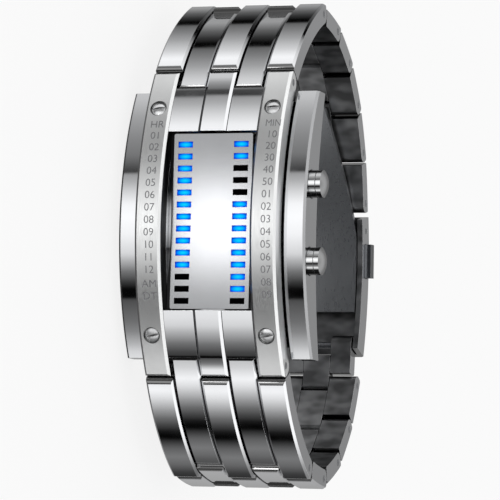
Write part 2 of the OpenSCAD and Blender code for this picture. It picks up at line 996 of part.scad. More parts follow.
// Cross-section of the cover: a channel open to the wrist, bevelled outside
module cover_channel() {
    low = clasp_in;
    roof = clasp_r - cover_t;
    b = col_bevel;
    rotate_extrude($fn = 96)
        polygon([
            [clasp_r - b, -half_w], [clasp_r, b - half_w], [clasp_r, half_w - b],
            [clasp_r - b, half_w], [low, half_w], [low, cover_in], [roof, cover_in],
            [roof, -cover_in], [low, -cover_in], [low, -half_w]
        ]);
}

// A clasp button's block, grown all round, from one height to another
module button_block(grow, low, high) {
    rotate([0, 0, button_a])
        translate([-button_l / 2 - grow, -button_r - button_h / 2 - grow, low])
            cube([button_l + 2 * grow, button_h + 2 * grow, high - low]);
}

module clasp_cover() {
    up_a = cover_pin_a + cover_up / clasp_r * 180 / PI;
    down_a = cover_pin_a - cover_down / clasp_r * 180 / PI;
    color(steel)
        about_clasp()
            difference() {
                intersection() {
                    cover_channel();
                    slab(2 * half_w + over)
                        clasp_wedge(down_a, up_a);
                }
                translate([hinge_r * sin(cover_pin_a), -hinge_r * cos(cover_pin_a), 0])
                    post(shaft_r + run_gap, -half_w - over, half_w + over);
                for (s = [0, 1])
                    mirror([0, 0, s])
                        button_block(button_gap, cover_in - over, half_w + over);
            }
}

module clasp_button(side) {
    color(dark_steel)
        about_clasp()
            mirror([0, 0, side > 0 ? 0 : 1]) {
                button_block(0, cover_in, half_w + button_out);
                button_block(-button_step, cover_in - button_depth, cover_in + button_step);
            }
}

module leaf_pin() {
    color(dark_steel)
        at_clasp(hinge_r, leaf_pin_a)
            post(shaft_r, -leaf_pin_half, leaf_pin_half);
}

module cover_pin() {
    color(dark_steel)
        at_clasp(hinge_r, cover_pin_a)
            post(shaft_r, col_gap - half_w, half_w - col_gap);
}

case_body();
bezel_bar(-1);  // bezel_bar_left
bezel_bar(1);  // bezel_bar_right
centre_bar(1);  // centre_bar_top
centre_bar(-1);  // centre_bar_bottom
side_guard(-1);  // side_guard_left
side_guard(1);  // side_guard_right
bezel_screws();
display_plate();
lit_windows();
dark_windows();
light_mask();
led_chips();
circuit_board();
module_frame();
battery();
battery_contact();
case_gasket();
case_back();
case_back_screws();
pusher_bushes();
pusher_seals();
pusher_spring(1);  // pusher_spring_upper
pusher_spring(-1);  // pusher_spring_lower
pusher(1);  // pusher_upper
pusher(-1);  // pusher_lower
lug_pins();
link_top(1);  // link_top_1
link_top(2);  // link_top_2
link_top(3);  // link_top_3
link_top(4);  // link_top_4
link_top(5);  // link_top_5
link_top(6);  // link_top_6
pin_top(1);  // pin_top_1
pin_top(2);  // pin_top_2
pin_top(3);  // pin_top_3
pin_top(4);  // pin_top_4
pin_top(5);  // pin_top_5
pin_top(6);  // pin_top_6
link_bottom(1);  // link_bottom_1
link_bottom(2);  // link_bottom_2
link_bottom(3);  // link_bottom_3
link_bottom(4);  // link_bottom_4
link_bottom(5);  // link_bottom_5
link_bottom(6);  // link_bottom_6
pin_bottom(1);  // pin_bottom_1
pin_bottom(2);  // pin_bottom_2
pin_bottom(3);  // pin_bottom_3
pin_bottom(4);  // pin_bottom_4
pin_bottom(5);  // pin_bottom_5
spring_bar();
clasp_inner_leaf();
clasp_middle_leaf();
clasp_cover();
leaf_pin();
cover_pin();
clasp_button(-1);  // clasp_button_left
clasp_button(1);  // clasp_button_right
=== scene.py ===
"""The looks of a steel bracelet watch with a light-window display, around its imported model.

The watch lies on its 9 o'clock side: -X is towards 12 o'clock, -Y out of the dial, +Z towards 3 o'clock.
"""
import math

import bmesh
import bpy
from mathutils import Matrix, Vector


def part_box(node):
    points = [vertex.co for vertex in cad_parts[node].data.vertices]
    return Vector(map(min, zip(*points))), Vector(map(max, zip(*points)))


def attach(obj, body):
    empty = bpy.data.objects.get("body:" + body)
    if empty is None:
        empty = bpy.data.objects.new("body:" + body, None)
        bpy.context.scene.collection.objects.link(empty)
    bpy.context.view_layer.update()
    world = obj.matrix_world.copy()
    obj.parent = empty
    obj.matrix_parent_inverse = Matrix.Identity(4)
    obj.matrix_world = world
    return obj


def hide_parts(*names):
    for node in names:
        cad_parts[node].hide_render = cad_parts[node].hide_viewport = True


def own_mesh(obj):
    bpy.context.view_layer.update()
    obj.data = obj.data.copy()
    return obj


MM = 0.001

# Head, in millimetres: the curved front of the bezel bars and the labels engraved on it
FACE_R = 49.3
FRONT_Y = -7.4
LABEL_PITCH = 2.2
LABEL_FIRST = 17.45
LABEL_SIZE = 1.95
LABEL_THIN = 0.02
LABEL_LIFT = 0.04
LABEL_WIDEST = 2.7
LABEL_DROP = 0.3
LABEL_WELD = 0.001
HOUR_SHIFT = 0.3
MINUTE_SHIFT = 0.65
HOUR_LABELS = ["HR"] + [f"{n:02d}" for n in range(1, 13)] + ["AM", "DT"]
MINUTE_LABELS = ["MIN"] + [str(n) for n in range(10, 60, 10)] + [f"{n:02d}" for n in range(1, 10)]

# Light windows, in millimetres: rows along the dial and half sizes of a window
ROW_PITCH = 2.13
WINDOW_HALF = (0.54, 1.35)

# A window's glow, from its middle outwards: places as shares of the reach, which is in half windows
GLOW_REACH = 1.5
GLOW = [(0.0, "#10DAFF"), (0.3, "#04BAFF"), (0.5, "#028CFA"), (0.64, "#0454E4"), (0.85, "#0426A8")]

# Middle of the bracelet's loop, in metres
LOOP_MIDDLE = (0.0, 0.024, 0.0)

# Distance between the bracelet's columns, and how far past a bar's inner edge its black painted shade
# reaches, in mm
COLUMN_PITCH = 5.2
WALL_MARGIN = 0.2

# Coil springs of the pushers, in millimetres. A coil's ends stand off by a share of its wire's radius
COIL_WIRE = 0.26
COIL_TURNS = 7
COIL_STAND = 1.1

# Steps in a letter's curve and in a coil's turn, and sides around its wire
LABEL_STEPS = 4
COIL_STEPS = 24
WIRE_SIDES = 8

# Camera of the photograph: its place and directions in the model's frame, and its lens
CAMERA_AT = (0.0593, -0.5515, 0.1965)
CAMERA_RIGHT = (-0.02745, 0.29687, 0.95452)
CAMERA_UP = (-0.99521, -0.09779, 0.00179)
CAMERA_BACK = (0.09387, -0.94990, 0.29813)
LENS_MM = 237.5
SENSOR_MM = 36

# Lamp over the display plate: its distance and size in metres, and its brightness
LAMP_AWAY = 0.12
LAMP_SIZE = 0.018
LAMP_RADIANCE = 6.5

# Light of the room on what isn't metal, and a gain for what steel mirrors, as steel swallows a share of it
ROOM_LIGHT = 0.8
MIRROR_GAIN = 1.36

# Paper under the watch: half its width in metres, and how much of it shows plain white whatever falls on it
PAPER_HALF = 1.5
PAPER_WHITE = 0.8

# What polished steel mirrors, by the angle from the viewer's side towards 12 o'clock and towards 6 o'clock:
# places in degrees and the grey shown there
UPPER_BANDS = [
    (0, 0.96), (8, 1.0), (14, 0.97), (20, 0.83), (25, 0.68), (28.5, 0.6), (29.5, 0.2), (33, 0.34),
    (38, 0.46), (47, 0.53), (58, 0.63), (69, 0.76), (80, 0.88), (89, 0.98), (95, 0.82), (104, 0.63),
    (111, 0.5), (117.5, 0.38), (119, 0.03), (122, 0.02), (127, 0.2), (133, 0.36), (142, 0.58), (160, 0.56),
    (180, 0.5)]
LOWER_BANDS = [
    (0, 0.96), (9, 0.84), (12, 0.7), (17, 0.45), (22, 0.22), (25, 0.03), (29.5, 0.02), (30.5, 0.3),
    (41, 0.43), (46, 0.52), (52, 0.7), (58, 0.88), (62, 0.97), (66, 0.88), (70, 0.74), (74, 0.58),
    (78, 0.42), (82, 0.28), (86, 0.1), (89, 0.02), (91, 0.04), (94, 0.24), (98, 0.38), (104, 0.47),
    (110, 0.4), (116, 0.25), (121, 0.12), (125, 0.16), (131, 0.5), (145, 0.66), (180, 0.52)]

# What it mirrors to its sides, by the height of the way there, from -1 to 1: the bands give way to a white
# ceiling with a grey middle and to a dark table
CEILING_FROM = (0.5, 0.7)
CEILING_MIDDLE = (0.955, 0.985)
CEILING_GREY = 0.62
TABLE_FROM = (-0.6, -0.85)
TABLE_GREY = 0.3

# Painted shade in crevices: how far a neighbour counts, in millimetres, the shares of open sky from darkest
# to unshaded, and the light that is left in the darkest
CREVICE_REACH = 1.0
CREVICE_SKY = (0.2, 0.7)
CREVICE_LIGHT = 0.04

# Faces, by how straight they look along an axis, from 0 to 1: the walls, bevels and pushers' ends along the
# watch's width, and the pushers' rims along the dial
WALL_LOOKS = 0.9
BEVEL_LOOKS = (0.4, 0.93)
END_LOOKS = (0.2, 0.5)
RIM_LOOKS = (0.5, 0.8)

# Faces of the links, by how straight they look away from the loop's middle: the inner ones, and the rounded
# ends, which the columns' sides aren't part of, and the grey painted on those ends as their reflection
INNER_LOOKS = (-0.35, -0.55)
ROUND_LOOKS = (0.84, 0.7)
ROUND_SIDES = (0.5, 0.3)
ROUND_GREY = 0.48

# Roughness that satin adds on the inner faces and on the pushers' ends
INNER_SATIN = 0.3
END_SATIN = 0.32

# Bezel bars: the black painted shade on their walls beside the plate, and the share of light that painted
# shade leaves on their bevels
WALL_SHADE = "#0D0D0D"
BAR_BEVEL_LIGHT = 0.85

# Brushed steel: its broad tone's size across and along the scratches, in millimetres, and the share of light
# in its darkest spots
TONE_SPOTS = (4.0, 12.0)
TONE_LOW = 0.9

# Polished steel: its haze's size, in millimetres, and the share of its roughness there, by the noise's value
HAZE_SPOTS = 3.0
HAZE_ROUGH = [(0.35, 0.7), (0.75, 1.6)]

# Inner faces, rubbed and darkened by painted shade: its clouds' size across and along the band's width, in
# millimetres, and the share of light the painted shade leaves there, by the noise's value
INNER_SPOTS = (2.2, 3.6)
INNER_LIGHT = [(0.35, 0.2), (0.7, 0.5)]

# Moulded and cast stuff: its faint clouds' size where it has no grain, in millimetres, the spread of its
# roughness and the least there is, and the grain's depth and strength
PLAIN_SPOTS = 0.5
PLAIN_VARY = 0.05
PLAIN_LEAST = 0.02
GRAIN_DEPTH = 0.01
GRAIN_STRENGTH = 0.6

# Values between which nearly all of a noise lies
NOISE_LOW = 0.3
NOISE_HIGH = 0.7

# Half of the stretch about the dial's middle, in metres, over which the polished faces' tilt changes
TILT_CHANGE = 0.006


# Materials

def light(part):
    """A part of an sRGB colour, from 0 to 1, as linear light."""
    return part / 12.92 if part <= 0.04045 else ((part + 0.055) / 1.055) ** 2.4


def linear(code):
    """A #rrggbb colour as linear light."""
    return tuple(light(int(code[i:i + 2], 16) / 255) for i in (1, 3, 5)) + (1.0,)


def grey(value):
    """A grey with the given linear light."""
    return (value, value, value, 1.0)


def shown(value):
    """The light that shows as the given grey."""
    return grey(light(value))


def darker(colour, share):
    """A colour with the given share of its light."""
    return tuple(part * share for part in colour[:3]) + (1.0,)


def node(tree, kind, stops=(), **given):
    """Adds a node with its settings, its inputs and, on a colour ramp, its stops.

    A setting goes by its own name. An input goes by its name, with _ for a space, or by its place, as in1,
    and takes a value, a socket, or another node, whose first output is meant.
    """
    made = tree.nodes.new(kind)
    for name, value in given.items():
        if hasattr(made, name):
            setattr(made, name, value)
            continue
        by_place = name.startswith("in") and name[2:].isdigit()
        socket = made.inputs[int(name[2:]) if by_place else name.replace("_", " ")]
        if isinstance(value, bpy.types.Node):
            value = value.outputs[0]
        if isinstance(value, bpy.types.NodeSocket):
            tree.links.new(value, socket)
        else:
            socket.default_value = value
    if stops:
        elements = made.color_ramp.elements
        while len(elements) > 1:
            elements.remove(elements[-1])
        elements[0].position, elements[0].color = stops[0]
        for at, colour in stops[1:]:
            elements.new(at).color = colour
    return made


def new_material(name):
    """A material with an empty tree, and its object coordinates."""
    material = bpy.data.materials.new(name)
    material.use_nodes = True
    tree = material.node_tree
    tree.nodes.clear()
    place = node(tree, "ShaderNodeTexCoord").outputs["Object"]
    return material, tree, place


def surface(tree, **inputs):
    """Ends a material's tree with its shader and its output."""
    shader = node(tree, "ShaderNodeBsdfPrincipled", **inputs)
    node(tree, "ShaderNodeOutputMaterial", Surface=shader)


def spots(tree, place, across, along, axis=0, detail=2.0):
    """A noise whose spots are as wide and, along an axis, as long as asked, in millimetres."""
    scale = [1 / MM / across] * 3
    scale[axis] = 1 / MM / along
    stretched = node(tree, "ShaderNodeMapping", Vector=place, Scale=scale)
    return node(tree, "ShaderNodeTexNoise", Vector=stretched, Scale=1.0, Detail=detail)


def creviced(tree, colour):
    """A metal's colour, darkened by painted shade where a neighbour stands close."""
    near = node(tree, "ShaderNodeAmbientOcclusion", samples=6, Distance=CREVICE_REACH * MM)
    share = node(tree, "ShaderNodeMapRange", Value=near.outputs["AO"], From_Min=CREVICE_SKY[0],
                 From_Max=CREVICE_SKY[1], To_Min=CREVICE_LIGHT, To_Max=1.0)
    shade = node(tree, "ShaderNodeMix", data_type="RGBA", Factor=share, in6=grey(0.0), in7=colour)
    return shade.outputs[2]


def looks_along(tree, axis):
    """How straight a face looks along an axis of the watch, from 0 to 1."""
    own = node(tree, "ShaderNodeTexCoord").outputs["Normal"]
    part = node(tree, "ShaderNodeSeparateXYZ", Vector=own).outputs[axis]
    return node(tree, "ShaderNodeMath", operation="ABSOLUTE", in0=part)


def off_middle(tree, place, middle):
    """How far a place lies from the given middle of the watch's width, in metres."""
    across = node(tree, "ShaderNodeSeparateXYZ", Vector=place).outputs["Z"]
    off = node(tree, "ShaderNodeMath", operation="SUBTRACT", in0=across, in1=middle)
    return node(tree, "ShaderNodeMath", operation="ABSOLUTE", in0=off)


def on_walls(tree, place, middle, within):
    """One on the walls that look along the watch's width, nearer its middle than the given distance."""
    wall = node(tree, "ShaderNodeMath", operation="GREATER_THAN", in0=looks_along(tree, "Z"), in1=WALL_LOOKS)
    off = off_middle(tree, place, middle)
    near = node(tree, "ShaderNodeMath", operation="LESS_THAN", in0=off, in1=within)
    return node(tree, "ShaderNodeMath", operation="MULTIPLY", in0=wall, in1=near)


def on_bevels(tree):
    """One on the bevels between the front and the sides."""
    side = looks_along(tree, "Z")
    over = node(tree, "ShaderNodeMath", operation="GREATER_THAN", in0=side, in1=BEVEL_LOOKS[0])
    under = node(tree, "ShaderNodeMath", operation="LESS_THAN", in0=side, in1=BEVEL_LOOKS[1])
    return node(tree, "ShaderNodeMath", operation="MULTIPLY", in0=over, in1=under)


def on_rims(tree):
    """Rises to one on what looks along the dial, as a round rim does above and below."""
    side = looks_along(tree, "X")
    return node(tree, "ShaderNodeMapRange", Value=side, From_Min=RIM_LOOKS[0], From_Max=RIM_LOOKS[1])


def on_ends(tree):
    """Rises to one on what looks along the watch's width."""
    side = looks_along(tree, "Z")
    return node(tree, "ShaderNodeMapRange", Value=side, From_Min=END_LOOKS[0], From_Max=END_LOOKS[1])


def brushed_steel(name, colour, rough, grain, axis=0, length=9.0, depth=0.0016, vary=0.07, shaded_walls=None):
    """Stainless steel ground on a belt: a sheen, drawn out by fine parallel scratches along an axis.

    grain, length and depth are the scratches' width, length and depth in millimetres. Real ones are about
    0.02 mm wide, too fine to show, so they are drawn as coarse as they need to be. vary is the roughness that
    they add or take. The last argument gives the middle and the reach, in metres, of walls painted black as
    painted shade, and then also paints shade on the bevels. Crevices always get painted shade.
    """
    material, tree, place = new_material(name)
    scratch = spots(tree, place, grain, length, axis, detail=3.0)
    spread = node(tree, "ShaderNodeValToRGB", Fac=scratch,
                  stops=[(NOISE_LOW, grey(rough - vary)), (NOISE_HIGH, grey(rough + vary))])
    tone = linear(colour)
    shade = node(tree, "ShaderNodeMix", data_type="RGBA", Factor=spots(tree, place, *TONE_SPOTS, axis),
                 in6=darker(tone, TONE_LOW), in7=tone)
    # Painted shade in crevices
    shade = creviced(tree, shade.outputs[2])
    if shaded_walls:
        # Black painted shade on the walls beside the plate, then painted shade on the bevels
        painted = on_walls(tree, place, *shaded_walls)
        shade = node(tree, "ShaderNodeMix", data_type="RGBA", Factor=painted, in6=shade,
                     in7=linear(WALL_SHADE)).outputs[2]
        shade = node(tree, "ShaderNodeMix", data_type="RGBA", Factor=on_bevels(tree), in6=shade,
                     in7=darker(tone, BAR_BEVEL_LIGHT)).outputs[2]
    bump = node(tree, "ShaderNodeBump", Height=scratch, Distance=depth * MM, Strength=1.0)
    surface(tree, Base_Color=shade, Metallic=1.0, Roughness=spread, Normal=bump)
    return material


def rubbed_inside(tree, place, tone, shade, spread):
    """A link's colour and roughness: rubbed satin, painted shade inside, a painted reflection on its round
    ends.
    """
    own = node(tree, "ShaderNodeTexCoord").outputs["Normal"]
    out = node(tree, "ShaderNodeVectorMath", operation="SUBTRACT", in0=place, in1=LOOP_MIDDLE)
    flat = node(tree, "ShaderNodeVectorMath", operation="MULTIPLY", in0=out, in1=(1, 1, 0))
    way = node(tree, "ShaderNodeVectorMath", operation="NORMALIZE", in0=flat)
    away = node(tree, "ShaderNodeVectorMath", operation="DOT_PRODUCT", in0=way, in1=own).outputs["Value"]
    inner = node(tree, "ShaderNodeMapRange", Value=away, From_Min=INNER_LOOKS[0], From_Max=INNER_LOOKS[1])
    curved = node(tree, "ShaderNodeMapRange", Value=away, From_Min=ROUND_LOOKS[0], From_Max=ROUND_LOOKS[1])
    between = node(tree, "ShaderNodeMapRange", Value=looks_along(tree, "Z"), From_Min=ROUND_SIDES[0],
                   From_Max=ROUND_SIDES[1])
    rounded = node(tree, "ShaderNodeMath", operation="MULTIPLY", in0=curved, in1=between)
    dark = node(tree, "ShaderNodeValToRGB", Fac=spots(tree, place, *INNER_SPOTS, axis=2, detail=1.0),
                stops=[(at, darker(tone, share)) for at, share in INNER_LIGHT])
    # A grey painted reflection on the rounded ends, and painted shade in clouds on the inner faces
    shade = node(tree, "ShaderNodeMix", data_type="RGBA", Factor=rounded, in6=shade, in7=shown(ROUND_GREY))
    shade = node(tree, "ShaderNodeMix", data_type="RGBA", Factor=inner, in6=shade.outputs[2], in7=dark)
    satin = node(tree, "ShaderNodeMath", operation="MULTIPLY", in0=inner, in1=INNER_SATIN)
    return shade.outputs[2], node(tree, "ShaderNodeMath", operation="ADD", in0=spread, in1=satin)


def tilt(tree, place, pitch, fade, columns):
    """The angle by which polished faces lie flatter, so that their bands of light move along the dial."""
    along = node(tree, "ShaderNodeSeparateXYZ", Vector=place).outputs["X"]
    turn = node(tree, "ShaderNodeMapRange", Value=along, From_Min=-TILT_CHANGE, From_Max=TILT_CHANGE,
                To_Min=math.radians(-pitch[0]), To_Max=math.radians(-pitch[1]))
    if fade:
        off = node(tree, "ShaderNodeMath", operation="ABSOLUTE", in0=along)
        kept = node(tree, "ShaderNodeMapRange", Value=off, From_Min=fade[0] * MM, From_Max=fade[1] * MM,
                    To_Min=1.0, To_Max=0.0)
        turn = node(tree, "ShaderNodeMath", operation="MULTIPLY", in0=turn, in1=kept)
    if columns:
        off = off_middle(tree, place, columns)
        over = node(tree, "ShaderNodeMath", operation="GREATER_THAN", in0=off, in1=0.5 * COLUMN_PITCH * MM)
        under = node(tree, "ShaderNodeMath", operation="LESS_THAN", in0=off, in1=1.5 * COLUMN_PITCH * MM)
        second = node(tree, "ShaderNodeMath", operation="MULTIPLY", in0=over, in1=under)
        turn = node(tree, "ShaderNodeMath", operation="MULTIPLY", in0=turn, in1=second)
    return turn


def polished_steel(name, colour, rough=0.06, edge=0.1, pitch=None, fade=None, columns=None, inside=False,
                   bevels=None, rims=None, ends=None):
    """Mirror-polished stainless steel: clear reflections, softened edges and a faint haze of hairlines.

    edge is how far its edges are rounded, in millimetres. pitch gives two angles, in degrees, by which its
    faces lie flatter at the 12 and the 6 o'clock end. fade gives the distances from the middle, in
    millimetres, over which that ends, and columns, the middle of the bracelet's width, keeps it to the second
    and fourth column. inside rubs the loop's inner faces satin, darkens them with painted shade and paints a
    grey reflection on the rounded ends. The last three give the share of light that painted shade leaves on
    the bevels, on a pusher's rim above and below, and on its ends, which are satin then. Crevices get painted
    shade. Hairlines are too fine to show, so the haze stands for them.
    """
    material, tree, place = new_material(name)
    spread = node(tree, "ShaderNodeValToRGB", Fac=spots(tree, place, HAZE_SPOTS, HAZE_SPOTS, detail=4.0),
                  stops=[(at, grey(rough * share)) for at, share in HAZE_ROUGH])
    tone = linear(colour)
    # Painted shade in crevices
    shade = creviced(tree, tone)
    if inside:
        shade, spread = rubbed_inside(tree, place, tone, shade, spread)
    # Painted shade on bevels, on pushers' rims above and below, and on their ends
    for faces, share in ((on_bevels, bevels), (on_rims, rims), (on_ends, ends)):
        if share:
            shade = node(tree, "ShaderNodeMix", data_type="RGBA", Factor=faces(tree), in6=shade,
                         in7=darker(tone, share)).outputs[2]
    if ends:
        satin = node(tree, "ShaderNodeMath", operation="MULTIPLY", in0=on_ends(tree), in1=END_SATIN)
        spread = node(tree, "ShaderNodeMath", operation="ADD", in0=spread, in1=satin)
    facing = node(tree, "ShaderNodeBevel", samples=4, Radius=edge * MM)
    if pitch:
        facing = node(tree, "ShaderNodeVectorRotate", rotation_type="Z_AXIS", Vector=facing,
                      Angle=tilt(tree, place, pitch, fade, columns))
    surface(tree, Base_Color=shade, Metallic=1.0, Roughness=spread, Normal=facing)
    return material


def lit_acrylic(name, low, high):
    """Clear cast acrylic over a blue chip: cyan over the chip's middle, deep blue at the window's edges."""
    material, tree, place = new_material(name)
    column = (high[2] - low[2]) / 2 - WINDOW_HALF[1] * MM
    side = off_middle(tree, place, (low[2] + high[2]) / 2)
    off = node(tree, "ShaderNodeMath", operation="SUBTRACT", in0=side, in1=column)
    across = node(tree, "ShaderNodeMath", operation="DIVIDE", in0=off, in1=WINDOW_HALF[1] * MM)
    first = low[0] + (WINDOW_HALF[0] - ROW_PITCH / 2) * MM
    down = node(tree, "ShaderNodeSeparateXYZ", Vector=place).outputs["X"]
    down = node(tree, "ShaderNodeMath", operation="SUBTRACT", in0=down, in1=first)
    row = node(tree, "ShaderNodeMath", operation="DIVIDE", in0=down, in1=ROW_PITCH * MM)
    part = node(tree, "ShaderNodeMath", operation="FRACT", in0=row)
    off = node(tree, "ShaderNodeMath", operation="SUBTRACT", in0=part, in1=0.5)
    along = node(tree, "ShaderNodeMath", operation="MULTIPLY", in0=off, in1=ROW_PITCH / WINDOW_HALF[0])
    from_middle = node(tree, "ShaderNodeCombineXYZ", X=across, Y=along)
    reach = node(tree, "ShaderNodeVectorMath", operation="LENGTH", in0=from_middle).outputs["Value"]
    share = node(tree, "ShaderNodeMapRange", Value=reach, From_Min=0.0, From_Max=GLOW_REACH)
    glow = node(tree, "ShaderNodeValToRGB", Fac=share, stops=[(at, linear(code)) for at, code in GLOW])
    surface(tree, Base_Color=linear("#04104A"), Roughness=0.2, Specular_IOR_Level=0.0, Emission_Color=glow,
            Emission_Strength=1.0)
    return material


def plain(name, colour, rough, grain=None, metallic=0.0, gloss=0.5):
    """Stuff of one colour, moulded, cast or drawn, with faint clouds in its shine or a fine grain.

    grain is in millimetres. A mould's own grain is finer than the render shows, so it is drawn coarser.
    """
    material, tree, place = new_material(name)
    size = grain or PLAIN_SPOTS
    cloud = spots(tree, place, size, size, detail=3.0)
    smoothest = max(rough - PLAIN_VARY, PLAIN_LEAST)
    spread = node(tree, "ShaderNodeValToRGB", Fac=cloud,
                  stops=[(NOISE_LOW, grey(smoothest)), (NOISE_HIGH, grey(rough + PLAIN_VARY))])
    relief = {}
    if grain:
        relief["Normal"] = node(tree, "ShaderNodeBump", Height=cloud, Distance=GRAIN_DEPTH * MM,
                                Strength=GRAIN_STRENGTH)
    surface(tree, Base_Color=linear(colour), Metallic=metallic, Roughness=spread, Specular_IOR_Level=gloss,
            **relief)
    return material


def wear(name, material):
    """Gives a node of the frame its material."""
    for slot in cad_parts[name].material_slots:
        slot.material = material


# Pieces

def face_point(along, across, lift):
    """A point over the bezel bars' front: along it towards 12 o'clock, across it towards 3 o'clock, in mm."""
    angle = along / FACE_R
    radius = FACE_R + lift
    x = -radius * math.sin(angle)
    y = FRONT_Y + FACE_R - radius * math.cos(angle)
    return Vector((x, y, across)) * MM


def add_mesh(name, shape, material):
    """Turns a bmesh into a piece of the scene."""
    mesh = bpy.data.meshes.new(name)
    shape.to_mesh(mesh)
    shape.free()
    mesh.materials.append(material)
    piece = bpy.data.objects.new(name, mesh)
    bpy.context.scene.collection.objects.link(piece)
    return piece


def engraved_labels(name, texts, across, material):
    """A column of labels engraved on a bezel bar, as one mesh bent to its front.

    Letters that stand below numbers lie a little lower.
    """
    whole = bmesh.new()
    for row, text in enumerate(texts):
        curve = bpy.data.curves.new(f"{name}_{row}", "FONT")
        curve.body = text
        curve.size = LABEL_SIZE
        curve.offset = -LABEL_THIN
        curve.align_x = "CENTER"
        curve.align_y = "CENTER"
        curve.resolution_u = LABEL_STEPS
        letter = bpy.data.objects.new(f"{name}_{row}", curve)
        bpy.context.scene.collection.objects.link(letter)
        mesh = bpy.data.meshes.new_from_object(letter)
        along = LABEL_FIRST - row * LABEL_PITCH - (LABEL_DROP if row and text.isalpha() else 0)
        half_wide = max(vertex.co.x for vertex in mesh.vertices)
        narrow = min(1, LABEL_WIDEST / 2 / half_wide)
        for vertex in mesh.vertices:
            x, y, _ = vertex.co
            vertex.co = face_point(along + y, across + narrow * x, LABEL_LIFT)
        whole.from_mesh(mesh)
        bpy.data.objects.remove(letter)
        bpy.data.curves.remove(curve)
        bpy.data.meshes.remove(mesh)
    bmesh.ops.remove_doubles(whole, verts=whole.verts, dist=LABEL_WELD * MM)
    for face in whole.faces:
        if face.normal.y > 0:
            face.normal_flip()
    piece = add_mesh(name, whole, material)
    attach(piece, "head")


def coil_tree(material):
    """Geometry nodes for a compression spring: a wire swept along a helix."""
    tree = bpy.data.node_groups.new("coil_spring", "GeometryNodeTree")
    tree.interface.new_socket("Geometry", in_out="OUTPUT", socket_type="NodeSocketGeometry")
    for label in ("Radius", "Height", "Turns", "Wire"):
        tree.interface.new_socket(label, in_out="INPUT", socket_type="NodeSocketFloat")
    sizes = node(tree, "NodeGroupInput").outputs
    helix = node(tree, "GeometryNodeCurveSpiral", Resolution=COIL_STEPS, Rotations=sizes["Turns"],
                 Height=sizes["Height"], Start_Radius=sizes["Radius"], End_Radius=sizes["Radius"])
    wire = node(tree, "GeometryNodeCurvePrimitiveCircle", Resolution=WIRE_SIDES, Radius=sizes["Wire"])
    tube = node(tree, "GeometryNodeCurveToMesh", Curve=helix, Profile_Curve=wire, Fill_Caps=True)
    real = node(tree, "GeometryNodeRealizeInstances", Geometry=tube)
    done = node(tree, "GeometryNodeSetMaterial", Geometry=real, Material=material)
    node(tree, "NodeGroupOutput", Geometry=done)
    return tree


def coil_spring(name, which, tree, material):
    """A coil spring in the place of a pusher's sleeve."""
    low, high = [Vector(corner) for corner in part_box(which)]
    middle = (low + high) / 2
    wire = COIL_WIRE * MM / 2
    radius = (high.x - low.x) / 2 - wire
    height = high.z - low.z - 2 * COIL_STAND * wire
    holder = bpy.data.objects.new(name, bpy.data.meshes.new(name))
    bpy.context.scene.collection.objects.link(holder)
    modifier = holder.modifiers.new("coil", "NODES")
    modifier.node_group = tree
    sizes = {"Radius": radius, "Height": height, "Turns": float(COIL_TURNS), "Wire": wire}
    for item in tree.interface.items_tree:
        if item.in_out == "INPUT":
            modifier[item.identifier] = sizes[item.name]
    bpy.context.view_layer.update()
    evaluated = holder.evaluated_get(bpy.context.evaluated_depsgraph_get())
    mesh = bpy.data.meshes.new_from_object(evaluated)
    holder.modifiers.clear()
    mesh.transform(Matrix.Translation((middle.x, middle.y, low.z + COIL_STAND * wire)))
    holder.data = mesh
    mesh.materials.clear()
    mesh.materials.append(material)
    mesh.shade_smooth()
    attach(holder, "head")
    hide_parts(which)
    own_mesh(holder)


# Surroundings

def studio_world():
    """A white studio. Polished metal sees it as bands that run across the watch, from light to black."""
    world = bpy.data.worlds.new("studio")
    bpy.context.scene.world = world
    world.use_nodes = True
    tree = world.node_tree
    tree.nodes.clear()
    way = node(tree, "ShaderNodeTexCoord").outputs["Generated"]
    parts = node(tree, "ShaderNodeSeparateXYZ", Vector=way).outputs
    up = node(tree, "ShaderNodeMath", operation="MULTIPLY", in0=parts["X"], in1=-1.0)
    out = node(tree, "ShaderNodeMath", operation="MULTIPLY", in0=parts["Y"], in1=-1.0)
    angle = node(tree, "ShaderNodeMath", operation="ARCTAN2", in0=up, in1=out)
    off = node(tree, "ShaderNodeMath", operation="ABSOLUTE", in0=angle)
    share = node(tree, "ShaderNodeMath", operation="DIVIDE", in0=off, in1=math.pi)
    upper, lower = [
        node(tree, "ShaderNodeValToRGB", Fac=share, stops=[(at / 180, shown(value)) for at, value in bands])
        for bands in (UPPER_BANDS, LOWER_BANDS)]
    below = node(tree, "ShaderNodeMath", operation="LESS_THAN", in0=angle, in1=0.0)
    seen = node(tree, "ShaderNodeMix", data_type="RGBA", Factor=below, in6=upper, in7=lower)
    high = node(tree, "ShaderNodeMapRange", Value=parts["Z"], From_Min=CEILING_FROM[0],
                From_Max=CEILING_FROM[1])
    ceiling = node(tree, "ShaderNodeValToRGB", Fac=parts["Z"],
                   stops=[(CEILING_MIDDLE[0], grey(1.0)), (CEILING_MIDDLE[1], shown(CEILING_GREY))])
    seen = node(tree, "ShaderNodeMix", data_type="RGBA", Factor=high, in6=seen.outputs[2], in7=ceiling)
    low = node(tree, "ShaderNodeMapRange", Value=parts["Z"], From_Min=TABLE_FROM[0], From_Max=TABLE_FROM[1])
    seen = node(tree, "ShaderNodeMix", data_type="RGBA", Factor=low, in6=seen.outputs[2],
                in7=shown(TABLE_GREY))
    path = node(tree, "ShaderNodeLightPath").outputs
    room = node(tree, "ShaderNodeBackground", Color=grey(ROOM_LIGHT), Strength=1.0)
    mirrored = node(tree, "ShaderNodeBackground", Color=seen.outputs[2], Strength=MIRROR_GAIN)
    behind = node(tree, "ShaderNodeBackground", Color=grey(1.0), Strength=1.0)
    mix = node(tree, "ShaderNodeMixShader", Fac=path["Is Glossy Ray"], in1=room, in2=mirrored)
    mix = node(tree, "ShaderNodeMixShader", Fac=path["Is Camera Ray"], in1=mix, in2=behind)
    node(tree, "ShaderNodeOutputWorld", Surface=mix)


